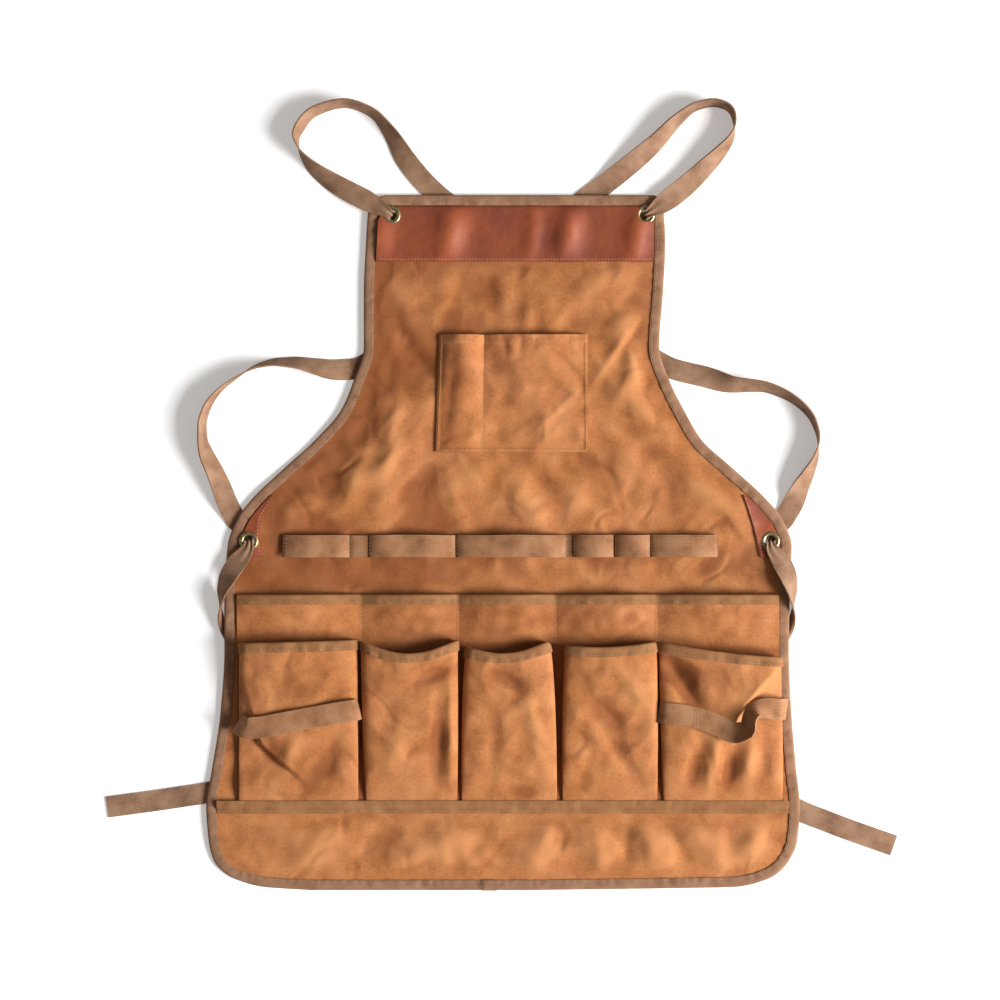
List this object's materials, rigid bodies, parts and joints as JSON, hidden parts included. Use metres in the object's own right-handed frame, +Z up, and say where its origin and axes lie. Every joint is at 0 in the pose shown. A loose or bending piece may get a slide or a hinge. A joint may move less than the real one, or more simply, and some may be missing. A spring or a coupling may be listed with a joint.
{
  "type": "canvas work apron",
  "caption": "Canvas work apron laid flat: bib with leather yoke and chest pocket, waist tool loops, tiers of pockets, bound edges and crossed webbing straps through brass eyelets.",
  "frame": {"origin": "on the surface the apron lies on, under the middle of its overall box", "axes": "+Z up out of the apron's front, +Y from the hem towards the bib, +X to the right as seen from above"},
  "size_m": [0.7913, 0.7893, 0.0454],
  "materials": {
    "canvas": "waxed cotton canvas, mottled tan, matte",
    "tape": "woven binding tape, taupe brown, matte",
    "webbing": "ribbed cotton webbing, light brown, matte",
    "leather": "smooth waxed leather, red-brown, satin",
    "brass": "antique brass, satin"
  },
  "bodies": {
    "root": {"body_panel_bib": "canvas", "body_panel_skirt": "canvas", "edge_binding": "tape", "leather_yoke": "leather", "corner_patch_left": "leather", "corner_patch_right": "leather", "grommet_bib_left": "brass", "grommet_bib_right": "brass", "grommet_waist_left": "brass", "grommet_waist_right": "brass", "bib_pocket": "canvas", "tool_loop_strip": "webbing", "upper_pocket": "canvas", "upper_pocket_binding_1": "tape", "upper_pocket_binding_2": "tape", "upper_pocket_binding_3": "tape", "upper_pocket_binding_4": "tape", "upper_pocket_binding_5": "tape", "front_pocket_1": "canvas", "front_pocket_2": "canvas", "front_pocket_3": "canvas", "front_pocket_4": "canvas", "front_pocket_5": "canvas", "front_pocket_binding_1": "tape", "front_pocket_binding_2": "tape", "front_pocket_binding_3": "tape", "front_pocket_binding_4": "tape", "front_pocket_binding_5": "tape", "pocket_base_tape": "tape", "pocket_band_left": "webbing", "pocket_band_right": "webbing", "strap_left_shoulder": "webbing", "strap_right_waist": "webbing", "strap_right_tail": "webbing", "strap_right_shoulder": "webbing", "strap_left_waist": "webbing", "strap_left_tail": "webbing"}
  },
  "joints": []
}
